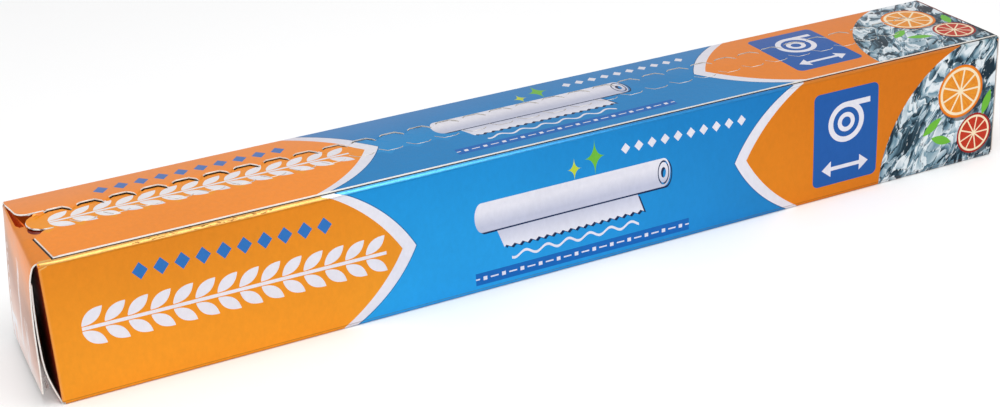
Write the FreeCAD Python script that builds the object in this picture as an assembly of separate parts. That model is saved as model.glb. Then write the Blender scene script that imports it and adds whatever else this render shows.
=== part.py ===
import FreeCAD, Part
import math
import os
from FreeCAD import Vector

# Aluminium foil roll in its dispenser carton. Millimetres, X along the roll, front to -Y, +Z up,
# origin at the middle of the base. The carton is one sheet of board that is wound round the roll:
# lid, back, base, front and inner top flap. The lid is glued down on the inner top flap, and two
# rows of zipper cuts in it make the tear strip. Each end has four flaps on the same sheet.

# Carton
carton_length = 306.0  # over the dust flaps, from end to end
carton_depth = 43.5
carton_height = 41.5
board = 0.4
fold_inner_radius = 0.3

# Top closure, depths are taken from the front face
lid_setback = 1.6  # the lid's edge lies behind the front face
glued_depth = 16.5  # lid and inner top flap are glued as far back as this
inner_flap_depth = 26.0
inner_flap_droop = 0.6  # the free edge of the inner top flap hangs below the lid

# Tear strip in the lid, places are taken from the back face
strip_back = 12.5
strip_width = 11.9
cut_pitch = 8.7
cut_run = 4.9  # a zipper cut without its slanted hook
hook_run = 2.0  # the hook, along the strip and across it
hook_drop = 2.6
tick_run = 1.1  # the short slant at a cut's other end
tick_drop = 0.8
cut_lead = 8.3  # from the lid's left end to the first cut
cut_width = 0.34

# Shaped left end of the lid
lid_slant = 1.5  # the back part leans in by this much
lid_corner_start = 2.6
lid_tip_radius = 0.6
lid_corner_radius = 3.4
tongue_reach = 5.9  # length of the round tongue of the tear strip
chamfer_start = 6.0  # front part of the lid: a chamfered corner, then a slanted end
chamfer_inset = 2.5
chamfer_depth = 3.4
chamfer_radius = 1.4
front_corner_inset = 4.3

# End flaps
flap_gap = 0.15  # between one closed flap and the next
dust_flap_length = 19.0
dust_flap_taper = 2.5
dust_flap_slit = 0.1  # above and below it, beside the folds
dust_fold_inner_radius = 0.2
bottom_flap_inset = 1.25
bottom_flap_headroom = 5.0
outer_flap_inset = 0.9
closed_flap_foot = 1.0
fold_overrun = 0.7  # the front top fold runs on past the walls
relief_radius = 2.0
relief_angle = 30.0  # the free wing of the outer flap starts this far round the fold
upper_share = 0.12  # how the outer flap's length divides into its bends
middle_share = 0.43
lower_share = 0.42
straight_share = 0.14  # and the bottom flap's
belly_share = 0.25

# Left end, where the glue has let go and both big flaps bow out, more at the front than at the
# back. The turns are degrees of bend, and positive ones lean the flap back towards the carton.
bowed_lead = 0.3
front_fold_radius = 2.2
front_fold_turn = 66.0
front_upper_turn = 16.0
front_middle_turn = 7.0
front_lower_turn = -1.0
front_foot = 4.4
back_fold_radius = 0.7
back_fold_turn = 87.0
back_upper_turn = -3.0
back_middle_turn = 0.0
back_lower_turn = 5.0
back_foot = 1.9
bulged_front_fold_turn = 76.0
bulged_front_belly_turn = 14.0
bulged_front_top_turn = 2.5
bulged_back_fold_turn = 80.0
bulged_back_belly_turn = 12.0
bulged_back_top_turn = 5.0
tucked_fold_inner_radius = 0.1  # the back dust flap is pushed in under the others
tucked_fold_turn = 100.0

# Roll of foil on its core
foil_width = 300.0
foil_length = 9000.0
foil_gauge = 0.0105
winding_density = 0.95  # share of the winding that is metal
core_diameter = 30.0
core_wall = 1.25
winding_clearance = 0.1
roll_clearance = 0.2  # between the roll and the base it lies on
roll_shift = 1.5  # the roll has slid towards the closed end

# Derived places
fold_radius = fold_inner_radius + board
front = -carton_depth / 2
back = carton_depth / 2
end = carton_length / 2
wrap_end = end - fold_radius
inner_top = carton_height - board  # outer face of the inner top flap
lid_edge = front + lid_setback
glue_end = front + glued_depth
flap_edge = front + inner_flap_depth
strip_front = strip_back + strip_width
beyond = 10.0  # how far a cutting tool reaches past the board
foil_radius = core_diameter / 2 + winding_clearance
winding_area = foil_length * foil_gauge / winding_density
roll_radius = math.sqrt(foil_radius ** 2 + winding_area / math.pi)
roll_axis = board + roll_clearance + roll_radius


def closed_face(edges):
    return Part.Face(Part.Wire(Part.__sortEdges__(edges)))


def rounded_face(corners, place):
    """Flat face through (u, v, radius) corners, where place gives the 3-D point of (u, v)."""
    edges = []
    points = [Vector(u, v, 0) for u, v, radius in corners]
    spans = []
    for index, (u, v, radius) in enumerate(corners):
        here = points[index]
        to_last = (points[index - 1] - here).normalize()
        to_next = (points[(index + 1) % len(points)] - here).normalize()
        if radius == 0:
            spans.append((here, here, here))
            continue
        half = to_last.getAngle(to_next) / 2
        centre = here + (to_last + to_next).normalize() * (radius / math.sin(half))
        middle = centre + (here - centre).normalize() * radius
        tangent = radius / math.tan(half)
        spans.append((here + to_last * tangent, middle, here + to_next * tangent))
    for index, (start, middle, stop) in enumerate(spans):
        last = spans[index - 1][2]
        if (start - last).Length > 1e-6:
            edges.append(Part.makeLine(place(last.x, last.y), place(start.x, start.y)))
        if start != stop:
            arc = Part.Arc(place(start.x, start.y), place(middle.x, middle.y), place(stop.x, stop.y))
            edges.append(arc.toShape())
    return closed_face(edges)


def bent_board(start, heading, runs, side, place):
    """Section of bent board. Its outer line goes through runs of (length, turn in degrees), and
    the board lies left of that line where side is 1, and right of it where side is -1."""
    position = Vector(start[0], start[1], 0)
    angle = math.radians(heading)
    edges = []
    for length, turn in runs:
        if length == 0:
            continue
        bend = math.radians(turn)
        outer = []
        inner = []
        for share in (0, 0.5, 1):
            facing = angle + bend * share
            normal = Vector(-math.sin(facing), math.cos(facing), 0)
            if bend == 0:
                point = position + Vector(math.cos(angle), math.sin(angle), 0) * (length * share)
            else:
                radius = length / bend
                centre = position + Vector(-math.sin(angle), math.cos(angle), 0) * radius
                point = centre - normal * radius
            outer.append(place(point.x, point.y))
            edge = point + normal * (board * side)
            inner.append(place(edge.x, edge.y))
        if not edges:
            edges.append(Part.makeLine(inner[0], outer[0]))
        for line in (outer, inner):
            if bend == 0:
                edges.append(Part.makeLine(line[0], line[2]))
            else:
                edges.append(Part.Arc(line[0], line[1], line[2]).toShape())
        position = point
        angle += bend
    edges.append(Part.makeLine(outer[2], inner[2]))
    return closed_face(edges)


def ribbon(points, width):
    """Corners of a narrow band of even width along a line of points."""
    left = []
    right = []
    for index, point in enumerate(points):
        ahead = points[min(index + 1, len(points) - 1)] - point
        behind = point - points[max(index - 1, 0)]
        along = Vector(0, 0, 0)
        for step in (ahead, behind):
            if step.Length > 0:
                along = along + step.normalize()
        along.normalize()
        normal = Vector(-along.y, along.x, 0)
        last_step = points[max(index, 1)] - points[max(index, 1) - 1]
        reach = width / 2 / max(0.3, along.dot(last_step.normalize()))
        left.append(point + normal * reach)
        right.append(point - normal * reach)
    return [(point.x, point.y, 0) for point in left + right[::-1]]


def on_section(y, z):
    return Vector(-wrap_end, y, z)


def on_lid(from_end, from_back):
    """Point under the lid, by its distance from the left end and from the back face."""
    return Vector(from_end - end, back - from_back, inner_top)


def wrap():
    """The wound sheet without its end flaps, with lid and inner top flap glued together."""
    outer = rounded_face([
        (front, 0, fold_radius),
        (back, 0, fold_radius),
        (back, carton_height, fold_radius),
        (lid_edge, carton_height, 0),
        (lid_edge, inner_top, 0),
        (front, inner_top, fold_radius),
    ], on_section)
    under_flap = inner_top - board
    inner = rounded_face([
        (front + board, board, fold_inner_radius),
        (back - board, board, fold_inner_radius),
        (back - board, inner_top, fold_inner_radius),
        (glue_end, inner_top, 0),
        (flap_edge, inner_top - inner_flap_droop, 0),
        (flap_edge, under_flap - inner_flap_droop, 0),
        (glue_end, under_flap, 0),
        (front + board, under_flap, fold_inner_radius),
    ], on_section)
    run = Vector(2 * wrap_end, 0, 0)
    tube = outer.extrude(run).cut(inner.extrude(run))
    ends = [lid_end(-end), lid_end(wrap_end)]
    overruns = [front_fold_end(-wrap_end - fold_overrun), front_fold_end(wrap_end)]
    return tube.fuse(ends + overruns)


def lid_end(x):
    """Last bit of the lid, which runs on past the walls as far as the ends of the carton."""
    fold_arc = fold_radius * math.pi / 2
    runs = [(back - fold_radius - lid_edge, 0), (fold_arc, -90)]
    section = bent_board((lid_edge, carton_height), 0, runs, -1, lambda y, z: Vector(x, y, z))
    return section.extrude(Vector(end - wrap_end, 0, 0))


def front_fold_end(x):
    """Short end of the fold between front wall and inner top flap, past the walls."""
    start = (front, inner_top - fold_radius)
    runs = [(fold_radius * math.pi / 2, -90)]
    section = bent_board(start, 90, runs, -1, lambda y, z: Vector(x, y, z))
    return section.extrude(Vector(fold_overrun, 0, 0))


def lid_outline_cut():
    """What is cut away at the lid's left end, round the back part, tongue and front part."""
    middle = strip_back + strip_width / 2
    half = strip_width / 2
    outline = [
        (-beyond, lid_corner_start, 0),
        (0, lid_corner_start, lid_tip_radius),
        (lid_slant, strip_back, lid_corner_radius),
        (cut_lead, strip_back, 0),
        (cut_lead, strip_back + cut_width, 0),
        (cut_lead - tongue_reach, strip_back + cut_width, 0.85 * half),
        (cut_lead - tongue_reach, strip_front - cut_width, 0.85 * half),
        (cut_lead, strip_front - cut_width, 0),
        (cut_lead, strip_front, 0),
        (chamfer_start, strip_front, chamfer_radius),
        (chamfer_inset, strip_front + chamfer_depth, chamfer_radius),
        (front_corner_inset, carton_depth - lid_setback, 0),
        (front_corner_inset, carton_depth + beyond, 0),
        (-beyond, carton_depth + beyond, 0),
    ]
    return rounded_face(outline, on_lid).extrude(Vector(0, 0, beyond))


def zipper_cuts():
    """Two rows of hooked cuts, whose hooks lean across the tear strip towards each other."""
    count = int((carton_length - cut_lead - cut_run - hook_run) / cut_pitch)
    cuts = []
    for index in range(count):
        start = cut_lead + index * cut_pitch
        turn = start + cut_run
        back_cut = [
            Vector(start, strip_back + tick_drop, 0),
            Vector(start + tick_run, strip_back, 0),
            Vector(turn, strip_back, 0),
            Vector(turn + hook_run, strip_back + hook_drop, 0),
        ]
        front_cut = [
            Vector(turn, strip_front - hook_drop, 0),
            Vector(turn + hook_run, strip_front, 0),
            Vector(turn + hook_run + cut_run - tick_run, strip_front, 0),
            Vector(turn + hook_run + cut_run, strip_front - tick_drop, 0),
        ]
        for line in (back_cut, front_cut):
            face = rounded_face(ribbon(line, cut_width), on_lid)
            cuts.append(face.extrude(Vector(0, 0, beyond)))
    return cuts


def lofted(sections):
    """Solid with straight rulings from each flat section to the next."""
    return Part.makeLoft([section.OuterWire for section in sections], True, True)


def between(first, second, share):
    """Numbers part of the way from one list to another."""
    return [low + (high - low) * share for low, high in zip(first, second)]


def dust_flap(inner_radius, turn):
    """Narrow flap on the front wall's left edge, folded in across the end."""
    radius = inner_radius + board
    lead = max(0, fold_radius - radius)
    fold_arc = radius * math.radians(turn)
    low = fold_radius + dust_flap_slit
    high = inner_top - fold_radius - dust_flap_slit
    runs = [(lead, 0), (fold_arc, -turn), (dust_flap_length - lead - fold_arc, 0)]
    section = bent_board((-wrap_end, front), 180, runs, -1, lambda x, y: Vector(x, y, low))
    flap = section.extrude(Vector(0, 0, high - low))
    shape = rounded_face([
        (front - beyond, low, 0),
        (front + fold_radius, low, 0),
        (front + dust_flap_length + beyond, low + dust_flap_taper, 0),
        (front + dust_flap_length + beyond, high - dust_flap_taper, 0),
        (front + fold_radius, high, 0),
        (front - beyond, high, 0),
    ], lambda y, z: Vector(-end - beyond, y, z))
    return flap.common(shape.extrude(Vector(3 * beyond, 0, 0)))


def bottom_flap(lead, front_turns, back_turns):
    """Wide flap on the base's left edge, folded up. The turns are those of its fold, belly and
    top, at its front and its back edge."""
    length = inner_top - board - fold_radius - bottom_flap_headroom
    sections = []
    for y, turns in ((front + bottom_flap_inset, front_turns), (back - bottom_flap_inset, back_turns)):
        fold_turn, belly_turn, top_turn = turns
        runs = [
            (lead, 0),
            (fold_radius * math.radians(fold_turn), -fold_turn),
            (straight_share * length, 0),
            (belly_share * length, -belly_turn),
            ((1 - straight_share - belly_share) * length, -top_turn),
        ]
        place = lambda x, z, y=y: Vector(x, y, z)
        sections.append(bent_board((-wrap_end, 0), 180, runs, -1, place))
    return lofted(sections)


def outer_flap(lead, front_bends, back_bends, feet):
    """Wide outer flap on the inner top flap's left edge, folded down over the others. It is as
    wide as the carton, so past the inner top flap its back part is a free wing. Its bends are the
    radius and turn of its fold and three turns below, at its front and its back edge."""
    low_y = front + outer_flap_inset
    high_y = back - outer_flap_inset
    sections = []
    for y, droop in ((low_y, 0), (glue_end, 0), (flap_edge, inner_flap_droop), (high_y, 0)):
        share = (y - low_y) / (high_y - low_y)
        radius, fold_turn, upper, middle, lower = between(front_bends, back_bends, share)
        runs = [
            (lead, 0),
            (radius * math.radians(fold_turn), fold_turn),
            (upper_share * carton_height, upper),
            (middle_share * carton_height, middle),
            (lower_share * carton_height, lower),
        ]
        place = lambda x, z, y=y: Vector(x, y, z)
        sections.append(bent_board((-wrap_end, inner_top - droop), 180, runs, 1, place))
    wing_top = -wrap_end - lead - back_bends[0] * math.sin(math.radians(relief_angle))
    relief = rounded_face([
        (wing_top, flap_edge, min(relief_radius, front_bends[0])),
        (beyond - wrap_end, flap_edge, 0),
        (beyond - wrap_end, back + beyond, 0),
        (wing_top, back + beyond, 0),
    ], lambda x, y: Vector(x, y, carton_height - beyond))
    foot = rounded_face([
        (front, feet[0], 0),
        (back, feet[1], 0),
        (back, -carton_height, 0),
        (front, -carton_height, 0),
    ], lambda y, z: Vector(-end - 2 * beyond, y, z))
    cutters = [relief.extrude(Vector(0, 0, 2 * beyond)), foot.extrude(Vector(3 * beyond, 0, 0))]
    return lofted(sections).cut(cutters)


def mirrored(shape, axis):
    return shape.mirror(Vector(0, 0, 0), axis)


def open_end():
    """Flaps of the left end, as the photograph shows them."""
    tucked = dust_flap(tucked_fold_inner_radius, tucked_fold_turn)
    return [
        dust_flap(dust_fold_inner_radius, 90),
        mirrored(tucked, Vector(0, 1, 0)),
        bottom_flap(
            bowed_lead,
            [bulged_front_fold_turn, bulged_front_belly_turn, bulged_front_top_turn],
            [bulged_back_fold_turn, bulged_back_belly_turn, bulged_back_top_turn],
        ),
        outer_flap(
            bowed_lead,
            [
                front_fold_radius, front_fold_turn,
                front_upper_turn, front_middle_turn, front_lower_turn,
            ],
            [back_fold_radius, back_fold_turn, back_upper_turn, back_middle_turn, back_lower_turn],
            (front_foot, back_foot),
        ),
    ]


def closed_end():
    """Flaps of the right end, folded flat over each other, made at the left and mirrored."""
    layer = board + flap_gap
    flat = [90, 0, 0]
    folded = [fold_radius, 90, 0, 0, 0]
    dust = dust_flap(dust_fold_inner_radius, 90)
    flaps = [
        dust,
        mirrored(dust, Vector(0, 1, 0)),
        bottom_flap(layer, flat, flat),
        outer_flap(2 * layer, folded, folded, (closed_flap_foot, closed_flap_foot)),
    ]
    return [mirrored(flap, Vector(1, 0, 0)) for flap in flaps]


def carton():
    sheet = wrap().cut([lid_outline_cut()] + zipper_cuts())
    return sheet.fuse(open_end() + closed_end()).removeSplitter()


def tube(outer_radius, inner_radius, length):
    """Tube along X, lying in the carton."""
    start = Vector(roll_shift - length / 2, 0, roll_axis)
    along = Vector(1, 0, 0)
    bore = Part.makeCylinder(inner_radius, length, start, along)
    return Part.makeCylinder(outer_radius, length, start, along).cut(bore)


def core_tube():
    outer_radius = core_diameter / 2
    return tube(outer_radius, outer_radius - core_wall, foil_width)


def foil_roll():
    """All turns of the foil as one solid, wound on the core."""
    return tube(roll_radius, foil_radius, foil_width)


os.makedirs("parts", exist_ok=True)
for name, make in (("carton", carton), ("foil_roll", foil_roll), ("core_tube", core_tube)):
    shape = make()
    solids = shape.Solids
    piece = solids[0] if len(solids) == 1 else shape
    piece.exportStep("parts/" + name + ".step")
    print(name, len(solids), "solid", piece.isValid(), round(piece.Volume, 1), piece.BoundBox)
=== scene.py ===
import math
import random

import bmesh
import bpy
from mathutils import Matrix, Vector, noise


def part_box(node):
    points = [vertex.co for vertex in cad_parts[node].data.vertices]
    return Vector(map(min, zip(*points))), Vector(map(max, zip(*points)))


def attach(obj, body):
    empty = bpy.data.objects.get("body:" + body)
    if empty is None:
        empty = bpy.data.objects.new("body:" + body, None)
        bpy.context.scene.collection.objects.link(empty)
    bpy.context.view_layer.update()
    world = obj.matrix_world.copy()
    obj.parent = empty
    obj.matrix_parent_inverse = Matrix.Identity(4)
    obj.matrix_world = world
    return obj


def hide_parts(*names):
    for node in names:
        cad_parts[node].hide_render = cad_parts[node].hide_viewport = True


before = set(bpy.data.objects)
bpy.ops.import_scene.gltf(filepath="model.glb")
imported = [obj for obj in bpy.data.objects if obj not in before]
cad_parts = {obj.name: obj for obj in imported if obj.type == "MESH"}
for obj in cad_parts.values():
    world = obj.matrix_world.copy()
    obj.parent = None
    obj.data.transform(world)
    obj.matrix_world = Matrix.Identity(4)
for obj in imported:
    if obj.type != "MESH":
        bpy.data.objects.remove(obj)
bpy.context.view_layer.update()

# Looks of an aluminium foil roll in its printed carton. Lengths are in metres, and the print is laid
# out in millimetres: along from the carton's left end, and up from the lower edge of a panel.

MM = 0.001

# Places on the carton, from the frame where it has them
carton_low, carton_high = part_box("carton")
FRONT = carton_low.y
BACK = carton_high.y
TOP = carton_high.z
PANEL_LENGTH = 0.306  # the lid, without the bowed flaps
LEFT = -PANEL_LENGTH / 2
RIGHT = PANEL_LENGTH / 2
BOARD = 0.0004
FOLD_RADIUS = 0.0007
LID_EDGE = FRONT + 0.0016
INNER_TOP = TOP - BOARD
LID_END = (2.5, 4.3)  # slanted left end of the lid's front part, in mm from the carton's end
LID_END_BACK = BACK - 0.0278  # where that slanted end starts

# Photograph's frame and camera
IMAGE_WIDTH = 1000
FOCAL_PIXELS = 1765.8
SENSOR = 36.0
OPTICAL_CENTRE = 600  # pixels from the image's left edge
CAMERA_PLACE = Vector((-0.20893, -0.43882, 0.23809))
CAMERA_RIGHT = Vector((0.88128, -0.47150, -0.03200))
CAMERA_DOWN = Vector((-0.22565, -0.36031, -0.90513))
CAMERA_AHEAD = Vector((0.41524, 0.80490, -0.42393))


def ink(red, green, blue):
    """Linear colour of an sRGB colour given as 0 to 255."""
    parts = []
    for part in (red, green, blue):
        share = part / 255
        parts.append(share / 12.92 if share <= 0.04045 else ((share + 0.055) / 1.055) ** 2.4)
    return (parts[0], parts[1], parts[2], 1.0)


# Inks
ORANGE_UPPER = ink(228, 136, 28)
ORANGE_LOWER = ink(246, 159, 37)
ORANGE_RIGHT = ink(217, 115, 6)
# The lid's inks are copies of the front's as the light falls on the lid: painted reflection
ORANGE_LID = ink(253, 148, 46)
ORANGE_LID_RIGHT = ink(232, 128, 30)
BLUE_UPPER = ink(24, 146, 216)
BLUE_LOWER = ink(36, 164, 232)
BLUE_RIGHT = ink(10, 104, 176)
# painted reflection: the lid's blue
BLUE_LID = ink(28, 132, 196)
ROLL_SHADE = ink(186, 190, 212)
WHITE = ink(232, 231, 240)
OUTLINE = ink(20, 70, 120)
SHADE = ink(22, 44, 84)
BADGE = ink(30, 92, 170)
LINE_BLUE = ink(48, 116, 190)
BAND_BLUE = ink(18, 104, 184)
LEAF_GREEN = ink(112, 190, 60)
PALE_GREEN = ink(196, 214, 62)
FOIL_LIGHT = ink(232, 240, 244)
FOIL_MIDDLE = ink(112, 148, 166)
FOIL_DARK = ink(18, 44, 58)
RIND = ink(240, 138, 24)
PITH = ink(252, 232, 196)
PULP = ink(246, 168, 50)
RED_PULP = ink(206, 60, 36)
RED_RIND = ink(170, 34, 26)

# Print layout, the same on front, lid and back
MIDDLE = 153.3
ARCH_RISE = 20.3  # height of the arches' points
OUTER_ARCH = (59.5, 20.5, 46.2)  # centre along, drop of its centre, radius
INNER_ARCH = (50.3, 25.4, 53.0)
PATCH_CENTRE = (306.0, -2.0)
PATCH_RADIUS = 46.0
BRANCH = (8.0, 92.0)  # the white branch in the left field
BRANCH_UP = 20.3
LEAF_PITCH = 6.0
DIAMONDS = (22.0, 78.0)
DIAMONDS_UP = 32.8
DIAMOND_PITCH = 5.6
ROLL_SIGN = (119.0, 183.0)
ROLL_SIGN_UP = 23.4
ROLL_SIGN_RADIUS = 4.6
SHADOW_SHIFT = (0.7, -0.6)
BADGE_CENTRE = (246.6, 20.3)
BADGE_HALF = (12.1, 15.7)
BADGE_ROUND = 2.0
PRINT_HEIGHT = 41.5
SHADE_START = 120.0  # from here to the right the inks get darker, over the run below
SHADE_RUN = 170.0
DIAMOND_HALF = (2.1, 2.5)
SPARKLES = (
    ((158.0, 33.6), (3.6, 6.0), LEAF_GREEN),
    ((151.2, 31.4), (2.4, 3.8), PALE_GREEN),
)
WAVE_LINE = (130.0, 172.0)
WAVE_UP = 9.2
GEMS = (166.0, 210.3)  # the row of small white diamonds
GEMS_UP = 34.0
GEM_PITCH = 4.43
GEM_HALF = (1.5, 1.7)
BAND = (118.3, 189.3)
BAND_HEIGHT = (2.3, 6.2)
BAND_MIDDLE = 4.25
BAND_CELL = 71.0 / 12
SLICES = (
    ((291.5, 25.5), 9.0, RIND, PULP),
    ((298.0, 9.5), 7.0, RED_RIND, RED_PULP),
)
HERBS = (((280.5, 15.5), 35), ((284.5, 10.0), -20), ((302.5, 19.5), 70))
HERB_SIZE = (4.4, 1.5)
SHEET = (124.0, 170.0)  # the sheet that hangs from the roll sign
SHEET_DROP = 6.6
TOOTH_PITCH = 2.6
LID_PRINT_SHIFT = 3.2


class Field:
    """A number that varies over a surface: the output of a chain of shader nodes."""

    def __init__(self, tree, socket):
        self.tree = tree
        self.socket = socket

    def made(self, operation, *others):
        node = self.tree.nodes.new("ShaderNodeMath")
        node.operation = operation
        for place, value in enumerate((self,) + others):
            feed(self.tree, value, node.inputs[place])
        return Field(self.tree, node.outputs[0])

    def __add__(self, other):
        return self.made("ADD", other)

    def __sub__(self, other):
        return self.made("SUBTRACT", other)

    def __rsub__(self, other):
        return self.made("MULTIPLY", -1.0) + other

    def __mul__(self, other):
        return self.made("MULTIPLY", other)

    def __truediv__(self, other):
        return self.made("DIVIDE", other)

    def __neg__(self):
        return self.made("MULTIPLY", -1.0)

    def __abs__(self):
        return self.made("ABSOLUTE")

    def squared(self):
        return self.made("MULTIPLY", self)

    def clamped(self):
        return self.made("MAXIMUM", 0.0).made("MINIMUM", 1.0)

    def below(self, limit):
        return self.made("LESS_THAN", limit)

    def above(self, limit):
        return self.made("GREATER_THAN", limit)

    def near(self, centre, reach):
        return self.made("COMPARE", centre, reach)

    def within(self, low, high):
        return self.near((low + high) / 2, (high - low) / 2)

    def repeated(self, pitch):
        """Distance from the middle of each cell of a row."""
        return self.made("FLOORED_MODULO", pitch) - pitch / 2


def feed(tree, value, socket):
    if isinstance(value, Field):
        tree.links.new(value.socket, socket)
    elif isinstance(value, bpy.types.NodeSocket):
        tree.links.new(value, socket)
    else:
        socket.default_value = value


def both(first, *masks):
    for mask in masks:
        first = first.made("MINIMUM", mask)
    return first


def either(first, *masks):
    for mask in masks:
        first = first.made("MAXIMUM", mask)
    return first


def distance(across, upward):
    return (across.squared() + upward.squared()).made("SQRT")


def mixed(tree, share, first, second):
    """Colour between two colours."""
    node = tree.nodes.new("ShaderNodeMix")
    node.data_type = "RGBA"
    feed(tree, share, node.inputs[0])
    feed(tree, first, node.inputs[6])
    feed(tree, second, node.inputs[7])
    return node.outputs[2]


def noise_field(tree, vector, scale, detail=2.0, roughness=0.5):
    node = tree.nodes.new("ShaderNodeTexNoise")
    feed(tree, vector, node.inputs["Vector"])
    node.inputs["Scale"].default_value = scale
    node.inputs["Detail"].default_value = detail
    node.inputs["Roughness"].default_value = roughness
    return Field(tree, node.outputs["Fac"])


def joined(tree, across, upward, third=0.0):
    """Vector made of fields."""
    node = tree.nodes.new("ShaderNodeCombineXYZ")
    for place, value in enumerate((across, upward, third)):
        feed(tree, value, node.inputs[place])
    return node.outputs[0]


def vector_math(tree, operation, first, second):
    node = tree.nodes.new("ShaderNodeVectorMath")
    node.operation = operation
    feed(tree, first, node.inputs[0])
    feed(tree, second, node.inputs[1])
    return node


def arch(inset, up, shape):
    """Pointed arch that lies on its side, made of two arcs."""
    centre, drop, radius = shape
    across = (inset - centre).made("MAXIMUM", 0.0)
    return distance(across, abs(up - ARCH_RISE) + drop).below(radius)


def rounded_box(along, up, centre, half, corner):
    across = (abs(along - centre[0]) - (half[0] - corner)).made("MAXIMUM", 0.0)
    upward = (abs(up - centre[1]) - (half[1] - corner)).made("MAXIMUM", 0.0)
    return distance(across, upward).below(corner)


def leaf(across, upward, turn, length, width):
    """Leaf with a point at both ends, turned by an angle in degrees."""
    cosine = math.cos(math.radians(turn))
    sine = math.sin(math.radians(turn))
    lengthwise = across * cosine + upward * sine
    sideways = upward * cosine - across * sine
    return (abs(sideways) + lengthwise.squared() * (width / length ** 2)).below(width)


def sparkle(along, up, centre, half):
    """Star with four thin points."""
    across = (abs(along - centre[0]) / half[0]).made("SQRT")
    upward = (abs(up - centre[1]) / half[1]).made("SQRT")
    return (across + upward).below(1.0)


def voronoi(tree, vector, scale, feature="F1"):
    node = tree.nodes.new("ShaderNodeTexVoronoi")
    node.feature = feature
    feed(tree, vector, node.inputs["Vector"])
    node.inputs["Scale"].default_value = scale
    return node


def ramp(tree, share, stops):
    """Colour from stops of (share, colour)."""
    node = tree.nodes.new("ShaderNodeValToRGB")
    points = node.color_ramp.elements
    while len(points) < len(stops):
        points.new(0.5)
    for point, (place, colour) in zip(points, stops):
        point.position = place
        point.color = colour
    feed(tree, share, node.inputs[0])
    return node.outputs[0]


def crinkled_ink(tree, along, up):
    """Printed picture of crumpled foil: long leaning facets, each with its own tone and tilt."""
    across = along * 0.87 - up * 0.5
    lengthwise = (along * 0.5 + up * 0.87) * CRINKLE_SQUEEZE
    place = joined(tree, across, lengthwise)
    swirl = noise_field(tree, place, 0.11) - 0.5
    sway = noise_field(tree, joined(tree, lengthwise + 31.0, across), 0.09) - 0.5
    jag = noise_field(tree, place, 0.9) - 0.5
    bent = joined(tree, across + swirl * 14.0 + jag * 1.2, lengthwise + sway * 9.0 - jag * 0.8)
    tone = noise_field(tree, place, 0.16) * 0.5 + CRINKLE_TONE
    for scale, gain, tilt in CRINKLES:
        cells = voronoi(tree, bent, scale)
        away = vector_math(tree, "SUBTRACT", bent, cells.outputs["Position"]).outputs[0]
        lean = vector_math(tree, "SUBTRACT", cells.outputs["Color"], (0.5, 0.5, 0.5)).outputs[0]
        slope = vector_math(tree, "DOT_PRODUCT", away, lean).outputs["Value"]
        level = vector_math(tree, "DOT_PRODUCT", lean, (0.0, 0.0, 1.0)).outputs["Value"]
        tone = tone + Field(tree, slope) * (tilt * scale) + Field(tree, level) * gain
    toned = ramp(tree, tone, FOIL_STOPS)
    edge = Field(tree, voronoi(tree, bent, CREASE_SCALE, "DISTANCE_TO_EDGE").outputs["Distance"])
    near = (1.0 - edge / 0.06).clamped()
    toned = mixed(tree, both(near, jag.above(0.0)) * 0.8, toned, FOIL_DARK)
    return mixed(tree, both(near, jag.below(-0.04)) * 0.8, toned, FOIL_LIGHT)


def branch(along, up):
    """White branch with pairs of leaves."""
    cell = (along - BRANCH[0]).repeated(LEAF_PITCH)
    sideways = abs(up - BRANCH_UP)
    leaves = leaf(cell + 0.1, sideways - 3.1, 38, 3.8, 1.65)
    return both(either(leaves, sideways.below(0.5)), along.within(*BRANCH))


def diamonds(along, up, row, height, pitch, half):
    cell = (along - row[0]).repeated(pitch)
    shape = abs(cell) / half[0] + abs(up - height) / half[1]
    return both(shape.below(1.0), along.within(*row))


def roll_sign(along, up):
    """Plain sign of a roll with a sheet pulled off it."""
    middle = (ROLL_SIGN[0] + ROLL_SIGN[1]) / 2
    half = (ROLL_SIGN[1] - ROLL_SIGN[0]) / 2 - ROLL_SIGN_RADIUS / 2
    height = up - ROLL_SIGN_UP
    past = (abs(along - middle) - half).made("MAXIMUM", 0.0)
    body = distance(past * 2.0, height).below(ROLL_SIGN_RADIUS)
    face = distance((along - (middle + half)) * 2.0, height)
    lines = either(face.within(ROLL_SIGN_RADIUS - 1.3, ROLL_SIGN_RADIUS - 0.7), face.below(1.7))
    slanted = along + height * 0.35
    teeth = abs(slanted.repeated(TOOTH_PITCH)) * 0.7
    sheet = both(
        slanted.within(*SHEET),
        height.below(-ROLL_SIGN_RADIUS - 0.5),
        (height - teeth).above(-ROLL_SIGN_RADIUS - SHEET_DROP),
    )
    return either(both(body, 1.0 - lines), sheet)


def roll_shade(up):
    """Soft shade on the lower half of the roll sign, and on its sheet just under the roll."""
    height = up - ROLL_SIGN_UP
    on_roll = (0.4 - height / ROLL_SIGN_RADIUS).clamped() * 0.8
    on_sheet = both(height.below(-ROLL_SIGN_RADIUS - 0.5), 1.0 - (-height - ROLL_SIGN_RADIUS) / 6.0)
    return either(both(on_roll, height.above(-ROLL_SIGN_RADIUS - 0.5)), on_sheet * 0.8).clamped()


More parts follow.
